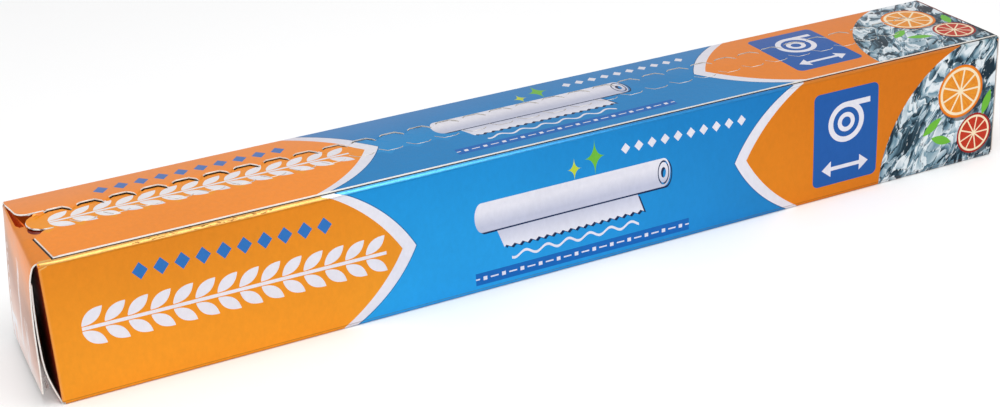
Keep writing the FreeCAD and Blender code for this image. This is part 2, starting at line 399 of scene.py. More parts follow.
def slice_over(tree, colour, along, up, centre, radius, rind, pulp):
    """Round fruit slice with a rind, a pith and segments, and its shadow, over a colour."""
    across = along - centre[0]
    upward = up - centre[1]
    shadow = distance(across - 0.9, upward + 1.1).below(radius * 1.02)
    colour = mixed(tree, shadow * 0.75, colour, FOIL_DARK)
    out = distance(across, upward) / radius
    angle = upward.made("ARCTAN2", across)
    segment = 2 * math.pi / SLICE_SEGMENTS
    spoke = ((abs(angle.repeated(segment)) - segment / 2) * out).above(-0.035)
    flesh = both(out.within(0.12, 0.8), 1.0 - spoke)
    sacs = noise_field(tree, joined(tree, out * 1.6, angle * 3.2), 2.4, 2.0)
    pulp = mixed(tree, ((sacs - 0.35) * 2.2).clamped(), multiplied(tree, pulp, PULP_DEEP), pulp)
    rim = mixed(tree, out.above(0.96), rind, multiplied(tree, rind, PULP_DEEP))
    colour = mixed(tree, out.below(1.0), colour, rim)
    colour = mixed(tree, out.below(0.9), colour, PITH)
    return mixed(tree, flesh, colour, pulp)


def badge_over(tree, colour, along, up):
    """Blue badge with the plain sign of a roll's end, and a length arrow under it."""
    colour = mixed(tree, rounded_box(along, up, BADGE_CENTRE, BADGE_HALF, BADGE_ROUND), colour, BADGE)
    across = along - BADGE_CENTRE[0]
    height = up - ROLL_END_UP
    out = distance(across, height)
    tail = both(height.within(4.9, 6.7), across.within(0.0, 9.0))
    rings = either(out.within(4.9, 6.7), out.within(1.7, 3.2), tail)
    level = abs(up - ARROW_UP)
    tip = 8.8 - abs(across)
    heads = both(tip.within(0.0, 3.4), (level - tip * 0.8).below(0.0))
    arrow = either(both(level.below(0.65), abs(across).below(7.0)), heads)
    return mixed(tree, either(rings, arrow), colour, WHITE)


def panel_ink(tree, along, up, painted_light_share):
    """Whole print of a long panel: arched fields of orange and blue, and generic signs on them."""
    inset = MIDDLE - abs(along - MIDDLE)
    rise = (up / PRINT_HEIGHT).clamped()
    rightward = ((along - SHADE_START) / SHADE_RUN).clamped()
    blue = mixed(tree, rightward, mixed(tree, rise, BLUE_LOWER, BLUE_UPPER), BLUE_RIGHT)
    orange = mixed(tree, rightward, mixed(tree, rise, ORANGE_LOWER, ORANGE_UPPER), ORANGE_RIGHT)
    # The lid's inks mixed in here are painted reflection: the front's inks as the light falls on the lid
    blue = mixed(tree, painted_light_share, blue, BLUE_LID)
    orange = mixed(tree, painted_light_share, orange, mixed(tree, rightward, ORANGE_LID, ORANGE_LID_RIGHT))
    outline = (OUTER_ARCH[0], OUTER_ARCH[1], OUTER_ARCH[2] + 0.28)
    colour = mixed(tree, arch(inset, up, outline) * 0.6, blue, OUTLINE)
    colour = mixed(tree, arch(inset, up, OUTER_ARCH), colour, WHITE)
    colour = mixed(tree, arch(inset, up, INNER_ARCH), colour, orange)

    colour = mixed(tree, branch(along, up), colour, WHITE)
    small = diamonds(along, up, DIAMONDS, DIAMONDS_UP, DIAMOND_PITCH, DIAMOND_HALF)
    colour = mixed(tree, small, colour, LINE_BLUE)

    shadow = roll_sign(along - SHADOW_SHIFT[0], up - SHADOW_SHIFT[1])
    colour = mixed(tree, shadow, colour, SHADE)
    shaded = mixed(tree, roll_shade(up), WHITE, ROLL_SHADE)
    colour = mixed(tree, roll_sign(along, up), colour, shaded)
    for centre, half, green in SPARKLES:
        colour = mixed(tree, sparkle(along, up, centre, half), colour, green)
    swing = (along * 0.9).made("SINE") * 0.8
    wave = both((up - swing).near(WAVE_UP, 0.42), along.within(*WAVE_LINE))
    colour = mixed(tree, wave, colour, WHITE)
    gems = diamonds(along, up, GEMS, GEMS_UP, GEM_PITCH, GEM_HALF)
    colour = mixed(tree, gems, colour, WHITE)

    band = both(along.within(*BAND), up.within(*BAND_HEIGHT))
    colour = mixed(tree, band, colour, BAND_BLUE)
    cell = (along - BAND[0]).repeated(BAND_CELL)
    squares = both(abs(cell).below(0.6), up.near(BAND_MIDDLE, 0.6))
    dashes = both(abs(cell).above(1.7), up.near(BAND_MIDDLE, 0.22))
    colour = mixed(tree, both(band, either(squares, dashes)), colour, WHITE)

    colour = badge_over(tree, colour, along, up)

    crinkled = crinkled_ink(tree, along, up)
    for centre, radius, rind, pulp in SLICES:
        crinkled = slice_over(tree, crinkled, along, up, centre, radius, rind, pulp)
    for centre, turn in HERBS:
        herb = leaf(along - centre[0], up - centre[1], turn, *HERB_SIZE)
        crinkled = mixed(tree, herb, crinkled, LEAF_GREEN)
    patch = distance(along - PATCH_CENTRE[0], up - PATCH_CENTRE[1]).below(PATCH_RADIUS)
    return mixed(tree, patch, colour, crinkled)


def print_group():
    """Node group of the print, shared by the panels' materials."""
    group = bpy.data.node_groups.new("panel_print", "ShaderNodeTree")
    for name in ("Along", "Up", "Painted light share"):
        group.interface.new_socket(name, in_out="INPUT", socket_type="NodeSocketFloat")
    group.interface.new_socket("Ink", in_out="OUTPUT", socket_type="NodeSocketColor")
    given = group.nodes.new("NodeGroupInput")
    result = group.nodes.new("NodeGroupOutput")
    along, up, painted_light_share = (Field(group, output) for output in given.outputs[:3])
    group.links.new(panel_ink(group, along, up, painted_light_share), result.inputs[0])
    return group


def new_material(name):
    """Empty node material, with its shader and the place on the object in millimetres."""
    material = bpy.data.materials.new(name)
    material.use_nodes = True
    tree = material.node_tree
    shader = tree.nodes["Principled BSDF"]
    place = tree.nodes.new("ShaderNodeTexCoord").outputs["Object"]
    scaled = vector_math(tree, "MULTIPLY", place, (1 / MM, 1 / MM, 1 / MM)).outputs[0]
    split = tree.nodes.new("ShaderNodeSeparateXYZ")
    tree.links.new(scaled, split.inputs[0])
    return material, tree, shader, scaled, [Field(tree, output) for output in split.outputs]


def bumped(tree, shader, height, reach):
    """Relief of a height field from 0 to 1, where reach is its real height in metres."""
    node = tree.nodes.new("ShaderNodeBump")
    node.inputs["Strength"].default_value = 1.0
    node.inputs["Distance"].default_value = reach
    feed(tree, height, node.inputs["Height"])
    tree.links.new(node.outputs[0], shader.inputs["Normal"])


def multiplied(tree, colour, tint):
    """Colour times another, which may be above 1, kept within an ink's range."""
    plain = colour[:3] if isinstance(colour, tuple) else colour
    node = vector_math(tree, "MULTIPLY", plain, tint)
    return vector_math(tree, "MINIMUM", node.outputs[0], (0.97, 0.97, 0.97)).outputs[0]


def finish_film(tree, shader, place, colour):
    """Satin metallised film over the print, with its fine leathery relief and uneven gloss."""
    stretched = vector_math(tree, "MULTIPLY", place, (1.0, 0.6, 0.6)).outputs[0]
    fine = noise_field(tree, stretched, 0.8, 3.0, 0.6)
    broad = noise_field(tree, place, 0.035)
    tint = mixed(tree, ((fine + broad - 1.0) * 1.1 + 0.5).clamped(), FILM_SHADE, FILM_LIGHT)
    tree.links.new(multiplied(tree, colour, tint), shader.inputs["Base Color"])
    shader.inputs["Metallic"].default_value = FILM_METAL
    feed(tree, fine * 0.12 + FILM_ROUGHNESS, shader.inputs["Roughness"])
    shader.inputs["Specular IOR Level"].default_value = FILM_GLOSS
    relief = fine * 0.5 + noise_field(tree, place, 0.22) * 0.5
    bumped(tree, shader, relief, FILM_RELIEF)


def front_material(group):
    """Front and inner top flap, with a painted highlight and cracked flecks on the fold between them, and
    painted shadow beside and under the lid's left end.
    """
    material, tree, shader, place, (x, y, z) = new_material("print_front")
    print_node = tree.nodes.new("ShaderNodeGroup")
    print_node.node_tree = group
    along = x - LEFT / MM
    reach = z + (y - FRONT / MM).made("MAXIMUM", 0.0)
    feed(tree, along, print_node.inputs[0])
    feed(tree, reach.made("MINIMUM", TOP / MM), print_node.inputs[1])
    # Under and just in front of the lid, the inner flap takes the lid's inks, the painted reflection
    feed(tree, y.above(LID_EDGE / MM - 0.3), print_node.inputs[2])
    colour = print_node.outputs[0]

    # Painted highlight along the front's top fold: the ink tinted paler, yellow on orange and cyan on
    # blue, with streaky edges, fading towards the right
    streaks = noise_field(tree, joined(tree, along * 0.25, reach * 1.5), 1.0)
    fold_edge = reach - TOP / MM + 1.1 + streaks * 0.5
    painted_fold_highlight = both((fold_edge / 0.35).clamped(), y.below(LID_EDGE / MM + 0.1))
    painted_fold_highlight = painted_fold_highlight * (1.0 - ((along - 90.0) / 80.0).clamped() * 0.85)
    brushed = noise_field(tree, joined(tree, along * 0.5, reach * 5.0), 1.0, 1.0)
    painted_fold_highlight = painted_fold_highlight * (1.0 - ((brushed - 0.48) * 5.0).clamped() * 0.55)
    # Painted highlight: a short pale streak at the fold's left corner
    corner = both((z - TOP / MM + 2.1 - along * 0.3).near(0.0, 0.2), along.within(0.3, 2.2))
    bright = mixed(tree, FOLD_PALE, multiplied(tree, colour, FOLD_HIGHLIGHT_TINT), WHITE)
    colour = mixed(tree, either(painted_fold_highlight, corner * 0.8), colour, bright)
    # Painted highlight: a pale band up the front's left fold
    side = (1.0 - along / 0.8).clamped() * z.below(TOP / MM - 2.0)
    colour = mixed(tree, side * 0.55, colour, SIDE_FOLD_HIGHLIGHT)

    # A darker line along the front's lower fold, and the fold below it a little darker
    colour = mixed(tree, z.near(1.05, 0.13) * 0.4, colour, DARK_BROWN)
    colour = mixed(tree, z.below(0.95) * 0.1, colour, DARK_BROWN)
    # Dark flecks where the film has cracked along the top fold
    flecks = both(
        noise_field(tree, joined(tree, along * 0.5, reach * 1.6), 1.0).above(0.56),
        reach.within(TOP / MM - 0.9, TOP / MM + 0.4),
        along.within(24.0, 62.0),
    )
    colour = mixed(tree, flecks * 0.8, colour, DARK_BROWN)
    # Painted shadow on the inner flap's top: near black in a thin line in front of the lid's edge and
    # beside its slanted left end, dark red-brown under the tear strip's tip and under the lid further in
    lean = (LID_END[1] - LID_END[0]) * MM / (LID_END_BACK - LID_EDGE)
    beside = along - (LID_END_BACK / MM - y) * lean - LID_END[0]
    edge_shadow = both(y.within(LID_EDGE / MM - 0.25, LID_END_BACK / MM), beside.above(-0.5))
    tongue_shadow = distance((along - TONGUE_SHADOW_CENTRE[0]) / TONGUE_SHADOW_HALF[0], (y - TONGUE_SHADOW_CENTRE[1]) / TONGUE_SHADOW_HALF[1]).below(1.0)
    behind = both(y.above(LID_END_BACK / MM), either(tongue_shadow, along.above(TONGUE_SHADOW_CENTRE[0] + 1.0)))
    under = mixed(tree, ((y - LID_END_BACK / MM) / 2.0).clamped(), LID_EDGE_SHADOW, TIP_SHADOW)
    lid_shadow = both(either(edge_shadow, behind), z.above(INNER_TOP / MM - 2.0))
    colour = mixed(tree, lid_shadow, colour, under)
    finish_film(tree, shader, place, colour)
    return material


def cut_field(along):
    """Same line as cut_line, as a field over the lid."""
    share = (along - CUT_LEAD).made("FLOORED_MODULO", CUT_PITCH)
    tick = (1.0 - share / TICK_RUN) * TICK_DROP
    rise = (share - CUT_RUN) * (HOOK_DROP / HOOK_RUN)
    rest = CUT_PITCH - CUT_RUN - HOOK_RUN
    fall = (share - CUT_RUN - HOOK_RUN) * ((TICK_DROP - HOOK_DROP) / rest) + HOOK_DROP
    return either(tick, both(rise, fall)).made("MAXIMUM", 0.0) + STRIP_BACK


def lid_material(group):
    material, tree, shader, place, (x, y, z) = new_material("print_lid")
    print_node = tree.nodes.new("ShaderNodeGroup")
    print_node.node_tree = group
    along = x - LEFT / MM
    feed(tree, along, print_node.inputs[0])
    feed(tree, y - (FRONT / MM + LID_PRINT_SHIFT), print_node.inputs[1])
    colour = print_node.outputs[0]
    depth = BACK / MM - y
    line = cut_field(along)
    strip = both(depth.above(line), depth.below(line + STRIP_WIDTH))
    painted_light_share = (1.0 - along / 150.0).clamped()
    # Painted light on the sunk tear strip: it takes the front's inks and is lightened by a tint, for how
    # the tilted strip catches the light; this fades out to the right
    feed(tree, 1.0 - strip * painted_light_share, print_node.inputs[2])
    # Painted sheen: paler pinkish grey towards the lid's back edge, stronger at the left, for the
    # reflection of the light there
    painted_sheen = (1.0 - depth / 20.0).clamped() * (painted_light_share * 0.16 + 0.08)
    colour = mixed(tree, painted_sheen * (1.0 - strip * painted_light_share), colour, LID_PAINTED_SHEEN)
    colour = mixed(tree, strip * painted_light_share, colour, multiplied(tree, colour, STRIP_PAINTED_LIGHT))
    finish_film(tree, shader, place, colour)
    shader.inputs["Metallic"].default_value = LID_METAL
    return material


def back_material(group):
    material, tree, shader, place, (x, y, z) = new_material("print_back")
    print_node = tree.nodes.new("ShaderNodeGroup")
    print_node.node_tree = group
    feed(tree, x * -1.0 + RIGHT / MM, print_node.inputs[0])
    feed(tree, z, print_node.inputs[1])
    finish_film(tree, shader, place, print_node.outputs[0])
    return material


def base_material():
    """Plain underside: the two colour fields only."""
    material, tree, shader, place, (x, y, z) = new_material("print_base")
    inset = MIDDLE - abs(x - LEFT / MM - MIDDLE)
    colour = mixed(tree, arch(inset, y + ARCH_RISE, OUTER_ARCH), BLUE_LOWER, WHITE)
    colour = mixed(tree, arch(inset, y + ARCH_RISE, INNER_ARCH), colour, ORANGE_LOWER)
    finish_film(tree, shader, place, colour)
    return material


def end_material():
    """End flaps: orange at the top going to pale pink lower down, a painted reflection of the bright
    surroundings, with painted shade in the middle towards the front, greyer pink towards the back, and a
    few plain pale marks.
    """
    material, tree, shader, place, (x, y, z) = new_material("print_end_painted_light")
    cloud = noise_field(tree, place, 0.1, 3.0) * 6.0 - 3.0
    # Pale pink low down is painted reflection and the mauve between is painted shade, up to the orange
    # print at the top
    colour = ramp(tree, ((z + cloud - y * 0.2) / (TOP / MM)).clamped(), END_LIGHT_STOPS)
    colour = mixed(tree, ((y - 15.0) / 8.0).clamped() * 0.6, colour, END_BACK)
    # Painted shade in the middle of the flap, towards its front
    deep = both((1.0 - abs(z - 25.0) / 13.0).clamped(), ((-y - 2.0) / 12.0).clamped())
    colour = mixed(tree, deep * 0.6, colour, END_SHADE)
    smear = ((noise_field(tree, joined(tree, y * 1.2, z * 0.16), 0.8) - 0.42) * 6.0).clamped()
    dash = (z * 1.7).made("SINE").above(-0.5)
    thin_row = both(y.near(18.3, 0.45), z.within(11.0, 31.0), dash)
    wide_row = both((y + z * 0.12).near(3.6, 1.6), z.within(7.0, 34.0), smear)
    faint_row = both((y + z * 0.1).near(-4.5, 2.4), z.within(1.5, 19.0), smear) * 0.7
    block = rounded_box(y, z, (15.5, 6.6), (4.2, 4.2), 0.6)
    hole = rounded_box(y, z, (14.6, 5.4), (2.2, 2.6), 0.4)
    marks = either(thin_row, wide_row, faint_row, both(block, 1.0 - hole))
    colour = mixed(tree, marks, colour, PALE_MARK)
    finish_film(tree, shader, place, colour)
    return material


def flap_material():
    """Outer side of the dust flaps, behind the others: deep red-orange by the fold going to near black
    further in, all painted shade.
    """
    material, tree, shader, place, (x, y, z) = new_material("print_dust_flap_painted_shade")
    behind = ((y - FRONT / MM) / 14.0).clamped()
    colour = mixed(tree, behind, FLAP_SHADED_ORANGE, FLAP_SHADOW)
    finish_film(tree, shader, place, colour)
    return material


def tip_glow_material():
    """Bare board and cut edges deep under the lid's left tip, painted orange and made to glow faintly:
    painted light for the light that comes in round the tip.
    """
    material, tree, shader, place, (x, y, z) = new_material("under_tip_painted_glow")
    colour = mixed(tree, noise_field(tree, place, 0.4), TIP_GLOW_ORANGE, TIP_GLOW_RED)
    tree.links.new(colour, shader.inputs["Base Color"])
    shader.inputs["Roughness"].default_value = 0.6
    # Painted light: a faint glow in the same orange
    tree.links.new(colour, shader.inputs["Emission Color"])
    shader.inputs["Emission Strength"].default_value = 0.16
    return material


def board_material(name, base, dark, relief):
    """Bare paperboard: short fibres in two tones."""
    material, tree, shader, place, (x, y, z) = new_material(name)
    fibres = noise_field(tree, joined(tree, x * 0.7, y * 2.2, z * 2.2), 1.4, 4.0, 0.65)
    clouds = noise_field(tree, place, 0.1, 2.0)
    share = ((fibres - 0.35) * 1.6 + (clouds - 0.5) * 0.5).clamped()
    tree.links.new(mixed(tree, share, dark, base), shader.inputs["Base Color"])
    shader.inputs["Roughness"].default_value = 0.85
    shader.inputs["Specular IOR Level"].default_value = 0.25
    bumped(tree, shader, fibres, relief)
    return material


def foil_material():
    """Bright rolled foil, with fine lines along the turns and soft lengthwise wrinkles."""
    material, tree, shader, place, (x, y, z) = new_material("wound_foil")
    height = z - ROLL_AXIS / MM
    out = distance(y, height)
    angle = height.made("ARCTAN2", y)
    wrinkles = noise_field(tree, joined(tree, x * 0.02, angle * 3.0), 2.2, 3.0)
    turns = (out * 16.0).made("SINE") * 0.5 + 0.5
    relief = wrinkles * 0.7 + turns * 0.3
    tone = mixed(tree, relief.clamped(), ink(176, 180, 186), ink(234, 236, 240))
    tree.links.new(tone, shader.inputs["Base Color"])
    shader.inputs["Metallic"].default_value = 1.0
    feed(tree, wrinkles * 0.2 + 0.14, shader.inputs["Roughness"])
    bumped(tree, shader, relief, 0.00006)
    return material


def core_material():
    """Grey-brown core tube with the seam of its spiral winding."""
    material, tree, shader, place, (x, y, z) = new_material("core_board")
    height = z - ROLL_AXIS / MM
    angle = height.made("ARCTAN2", y)
    seam = abs((x + angle * (CORE_LEAD / (2 * math.pi))).repeated(CORE_LEAD)).below(0.35)
    fibres = noise_field(tree, joined(tree, x * 0.5, y * 2.0, z * 2.0), 1.2, 4.0, 0.6)
    brown = mixed(tree, fibres, ink(150, 124, 92), ink(196, 170, 132))
    tree.links.new(mixed(tree, seam * 0.6, brown, ink(110, 86, 60)), shader.inputs["Base Color"])
    shader.inputs["Roughness"].default_value = 0.88
    bumped(tree, shader, fibres - seam * 0.5, 0.00008)
    return material


def flooded(start, limit):
    """Faces that can be reached from one face without crossing a sharp edge."""
    found = {start}
    waiting = [start]
    while waiting:
        face = waiting.pop()
        for edge in face.edges:
            if len(edge.link_faces) != 2 or edge.calc_face_angle() > limit:
                continue
            for neighbour in edge.link_faces:
                if neighbour not in found:
                    found.add(neighbour)
                    waiting.append(neighbour)
    return found


def face_on(mesh, place, facing):
    """Face that looks one way and lies in the plane through a place."""
    faces = [face for face in mesh.faces if face.normal.dot(facing) > 0.999]
    return min(faces, key=lambda face: abs((face.calc_center_median() - place).dot(facing)))


def sliced(mesh, axis, places, low=None, high=None):
    """Cuts the mesh by planes across an axis, so that there are points to bend it by."""
    normal = Vector((0, 0, 0))
    normal[axis] = 1
    for place in places:
        faces = mesh.faces[:]
        if low is not None:
            faces = [face for face in faces if inside(face, low, high)]
        parts = set(faces)
        for face in faces:
            parts.update(face.edges)
            parts.update(face.verts)
        bmesh.ops.bisect_plane(
            mesh, geom=list(parts), dist=1e-7, plane_co=normal * place, plane_no=normal,
        )


def inside(face, low, high):
    for vertex in face.verts:
        for axis in range(3):
            if not low[axis] <= vertex.co[axis] <= high[axis]:
                return False
    return True


def steps(low, high, pitch):
    count = max(1, round((high - low) / pitch))
    return [low + (high - low) * index / count for index in range(count + 1)]


def eased(value, low, high):
    """0 below low, 1 above high and a smooth step between."""
    share = min(1.0, max(0.0, (value - low) / (high - low)))
    return share * share * (3 - 2 * share)


def cut_line(along):
    """Distance of the back zipper line from the back face, in mm, at a place along the lid."""
    share = (along - CUT_LEAD) % CUT_PITCH
    if share < TICK_RUN:
        return STRIP_BACK + TICK_DROP * (1 - share / TICK_RUN)
    if share < CUT_RUN:
        return STRIP_BACK
    if share < CUT_RUN + HOOK_RUN:
        return STRIP_BACK + HOOK_DROP * (share - CUT_RUN) / HOOK_RUN
    rest = (share - CUT_RUN - HOOK_RUN) / (CUT_PITCH - CUT_RUN - HOOK_RUN)
    return STRIP_BACK + HOOK_DROP + (TICK_DROP - HOOK_DROP) * rest


def along_share(x, reach):
    """0 at the carton's ends and 1 further in than a reach."""
    return eased(x, LEFT + 0.0002, LEFT + reach) * (1 - eased(x, RIGHT - reach, RIGHT - 0.0002))


def folded_round(x, y, z):
    """Shift that gives the fold along the front's top its larger, crushed radius."""
    crushed = 1 - eased(x, LEFT + 0.09, LEFT + 0.17)
    radius = FOLD_RADIUS + (FOLD_ROUND - FOLD_RADIUS) * (0.1 + 0.9 * crushed)
    radius *= 1 + 0.16 * noise.noise(Vector((x * 70, 7, 0)))
    inward = y - FRONT
    downward = INNER_TOP - z
    if inward >= radius or downward >= radius:
        return Vector((0, 0, 0))
    depth = min(inward, downward)
    if inward < FOLD_RADIUS and downward < FOLD_RADIUS:
        depth = FOLD_RADIUS - math.hypot(FOLD_RADIUS - inward, FOLD_RADIUS - downward)
    away = Vector((0, inward - radius, radius - downward))
    return away.normalized() * (radius - depth) - away


def bent(point):
    """How far a point of the sheet moves once the panels have bowed and the strip has sunk."""
    x, y, z = point
    along = (x - LEFT) / MM
    shift = Vector((0, 0, 0))
    ends = eased(x, LEFT + 0.002, LEFT + 0.030) * (1 - eased(x, RIGHT - 0.030, RIGHT - 0.002))
    wave = noise.noise(Vector((x * 22, y * 30, z * 30)))
    slow = noise.noise(Vector((x * 9 + 4, 2.5, 0)))
    if LEFT < x < RIGHT:
        up_share = math.sin(math.pi * min(1, max(0, (z - FOLD_RADIUS) / (TOP - 2 * FOLD_RADIUS))))
        if y < FRONT + 0.0012:
            shift.y -= up_share * ends * (FRONT_BULGE + WAVE * wave)
        if y > BACK - 0.0012:
            shift.y += up_share * ends * (FRONT_BULGE + WAVE * wave)
        across = math.sin(math.pi * min(1, max(0, (y - FRONT) / (BACK - FRONT))))
        if z > TOP - 0.0009:
            shift.z += across * ends * (LID_BULGE * (0.6 + slow) + WAVE * wave)
        if z < 0.0012:
            shift.z += across * ends * BASE_HOLLOW
    on_lid = z > TOP - 0.0005 and y > LID_EDGE - 0.0001
    if on_lid:
        down_strip = (BACK - y) / MM
        past = eased(down_strip - cut_line(along), -CUT_HALF, CUT_HALF)
        toward = 1 - eased(down_strip, STRIP_BACK + 1, STRIP_BACK + STRIP_WIDTH)
        fade = 1 - 0.8 * eased(along, 45, 150)
        start = 0.35 + 0.65 * eased(along, 0, 14)
        shift.z -= STRIP_SINK * past * toward * fade * start
        shift.z += STRIP_LIFT * (1 - past) * eased(down_strip, 2, STRIP_BACK) * fade
    elif z > TOP - 0.003:
        weight = along_share(x, 0.003)
        shift += folded_round(x, y, z) * weight
        sag = 1 - eased(y, LID_EDGE - 0.0003, LID_EDGE + 0.0008)
        shift.z -= FOLD_SAG * sag * weight * eased(z, TOP - 0.003, TOP - 0.0018)
    return shift


def bowed_flaps(mesh):
    """Points of the left end's two bowed flaps: the outer flap's, and those of the flap inside it."""
    outside = {face for face in mesh.faces if max(vertex.co.x for vertex in face.verts) < LEFT - 0.0004}
    groups = []
    while outside:
        waiting = [outside.pop()]
        points = set()
        while waiting:
            face = waiting.pop()
            points.update(face.verts)
            for edge in face.edges:
                for neighbour in edge.link_faces:
                    if neighbour in outside:
                        outside.remove(neighbour)
                        waiting.append(neighbour)
        groups.append(points)
    groups.sort(key=lambda points: max(vertex.co.z for vertex in points))
    inner = set()
    for points in groups[:-1]:
        inner.update(points)
    return groups[-1], inner


def carton_piece(materials):
    """The carton's sheet, from the frame's solid: cut finer, bowed a little and told apart into
    printed side, bare side and cut edges."""
    mesh = bmesh.new()
    mesh.from_mesh(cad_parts["carton"].data)
    bmesh.ops.remove_doubles(mesh, verts=mesh.verts[:], dist=2e-6)
    limit = math.radians(SHARP)
    outer = face_on(mesh, Vector((0, FRONT, 0)), Vector((0, -1, 0)))
    inner = face_on(mesh, Vector((0, FRONT + BOARD, 0)), Vector((0, 1, 0)))
    printed = flooded(outer, limit)
    bare = flooded(inner, limit)
    for face in mesh.faces:
        face.material_index = FRONT_PRINT if face in printed else BARE if face in bare else EDGE
    sliced(mesh, 0, [LEFT + 0.0006] + steps(LEFT + 0.001, RIGHT - 0.001, 0.004) + [RIGHT - 0.0006])
    behind_edge = [LID_EDGE, LID_EDGE + 0.0004, LID_EDGE + 0.0008]
    sliced(mesh, 1, behind_edge + steps(FRONT + 0.003, BACK - 0.003, 0.0037))
    sliced(mesh, 2, steps(0.003, TOP - 0.003, 0.0036))
    fold_low = (LEFT - 1, FRONT - 1, TOP - 0.0026)
    fold_high = (RIGHT + 1, LID_EDGE + 0.00001, 1)
    sliced(mesh, 2, [TOP - 0.0025])
    sliced(mesh, 1, steps(FRONT + 0.00015, LID_EDGE - 0.00015, 0.00016), fold_low, fold_high)
    sliced(mesh, 2, steps(TOP - 0.0022, TOP - 0.0006, 0.0002), fold_low, fold_high)
    for face in mesh.faces:
        if face.material_index == FRONT_PRINT:
            face.material_index = printed_index(face)
        # Bare sides and cut edges under the lid's left tip take the painted glow
        elif in_tip_shade(face.calc_center_median()):
            face.material_index = TIP_GLOW
    for points, reach in zip(bowed_flaps(mesh), FLAP_SHIFTS):
        for vertex in points:
            height = math.sin(math.pi * min(1, max(0, vertex.co.z / TOP)))
            vertex.co.x += reach * height * (1 - eased(vertex.co.y, FRONT, BACK))
    crush_edges(mesh)
    for vertex in mesh.verts:
        vertex.co += bent(vertex.co)
    for face in mesh.faces:
        face.smooth = True
    data = bpy.data.meshes.new("carton_sheet")
    mesh.to_mesh(data)
    mesh.free()
    data.set_sharp_from_angle(angle=limit)
    for material in materials:
        data.materials.append(material)
    piece = bpy.data.objects.new("carton_sheet", data)
    bpy.context.scene.collection.objects.link(piece)
    weighted = piece.modifiers.new("even_shading", "WEIGHTED_NORMAL")
    weighted.keep_sharp = True
    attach(piece, "root")
    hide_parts("carton")
    return piece


def crush_edges(mesh):
    """Leans the lid's cut edges back a little, as a die leaves them, so that the board's core shows."""
    shifts = {}
    for face in mesh.faces:
        if face.material_index != EDGE or abs(face.normal.z) > 0.3:
            continue
        if min(vertex.co.z for vertex in face.verts) < INNER_TOP - 0.0001:
            continue
        for vertex in face.verts:
            if vertex.co.z > TOP - 0.00005:
                shifts.setdefault(vertex, []).append(face.normal.copy())
    for vertex, normals in shifts.items():
        middle = sum(normals, Vector((0, 0, 0)))
        weight = 1 - 0.6 * eased(vertex.co.x, LEFT + 0.09, LEFT + 0.15)
        if vertex.co.y > LID_EDGE + 0.002 and vertex.co.x > LEFT + 0.012:
            weight = 0.3 * (1 - eased(vertex.co.x, LEFT + 0.05, LEFT + 0.12))
        if middle.length > 0.2:
            vertex.co -= middle.normalized() * (EDGE_CRUSH * weight)


def in_tip_shade(place):
    """Whether a bare side or cut edge lies in the shade under the lid's left tip."""
    if place.x > LEFT + TIP_SHADE_REACH or place.y < LID_END_BACK - 0.001:
        return False
    return TOP - TIP_SHADE_DEPTH < place.z < INNER_TOP - 0.00005


def printed_index(face):
    """Which panel's print a face of the printed side belongs to."""
    centre = face.calc_center_median()
    normal = face.normal
    on_fold = abs(centre.y) > BACK - FOLD_RADIUS and abs(normal.y) > 0.08
    if on_fold and 0.0015 < centre.z < TOP - 0.0015:
        return FRONT_PRINT if centre.y < 0 else BACK_PRINT
    if centre.x > RIGHT - 0.0004 and centre.z > TOP - 0.0015 and normal.z > 0.3:
        return FRONT_PRINT
    if abs(centre.x) > RIGHT - 0.0004:
        if centre.z > TOP - 0.0002 and abs(centre.x) <= RIGHT:
            return LID
        if abs(centre.x) < RIGHT + 0.0003 and centre.z < TOP - 0.0015 and abs(normal.x) > 0.5:
            return DUST_FLAP
        return END
    if centre.z > TOP - 0.0002 and centre.y > LID_EDGE:
        return LID
    if centre.y < 0 and normal.y < -0.4:
        return FRONT_PRINT
    if normal.y > 0.7 and centre.y > 0:
        return BACK_PRINT
    if centre.z < FOLD_RADIUS:
        return BASE_PRINT
    if centre.z > TOP - 0.004 and centre.y < LID_EDGE + 0.026:
        return FRONT_PRINT
    return LID if centre.y > 0 else FRONT_PRINT


def add_fibres():
    """Torn fibres of board between the two bowed flaps, where the glue has let go."""
    mesh = bmesh.new()
    for index in range(FIBRE_COUNT):
        start = FIBRE_ROOT + Vector((0, random.uniform(-0.0004, 0.0012), random.uniform(-0.0022, 0.0022)))
        reach = Vector((-random.uniform(0.3, 1.0), random.uniform(-0.35, 0.1), random.uniform(-0.9, 0.1)))
        reach *= random.uniform(0.0008, 0.0016)
        curl = Vector((random.uniform(-1, 1), random.uniform(-0.4, 0.4), random.uniform(-1, 1))) * 0.0004
        width = random.uniform(0.00007, 0.00016)
        rings = []
        for step in range(FIBRE_STEPS + 1):
            share = step / FIBRE_STEPS
            centre = start + reach * share + curl * math.sin(math.pi * share)
            size = width * (1 - 0.8 * share)
            corners = []
            for corner in range(3):
                angle = 2 * math.pi * corner / 3 + share
                side = Vector((math.cos(angle), math.sin(angle), 0)) * size
                corners.append(mesh.verts.new(centre + side))
            rings.append(corners)
        for low, high in zip(rings, rings[1:]):
            for corner in range(3):
                after = (corner + 1) % 3
                mesh.faces.new((low[corner], low[after], high[after], high[corner]))
        mesh.faces.new(reversed(rings[0]))
        mesh.faces.new(rings[-1])
    bmesh.ops.recalc_face_normals(mesh, faces=mesh.faces[:])
    data = bpy.data.meshes.new("torn_fibres")
    mesh.to_mesh(data)
    mesh.free()
    data.materials.append(board_material("torn_board", ink(238, 232, 228), ink(186, 170, 168), 0.00002))
    piece = bpy.data.objects.new("torn_fibres", data)
    bpy.context.scene.collection.objects.link(piece)
    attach(piece, "root")


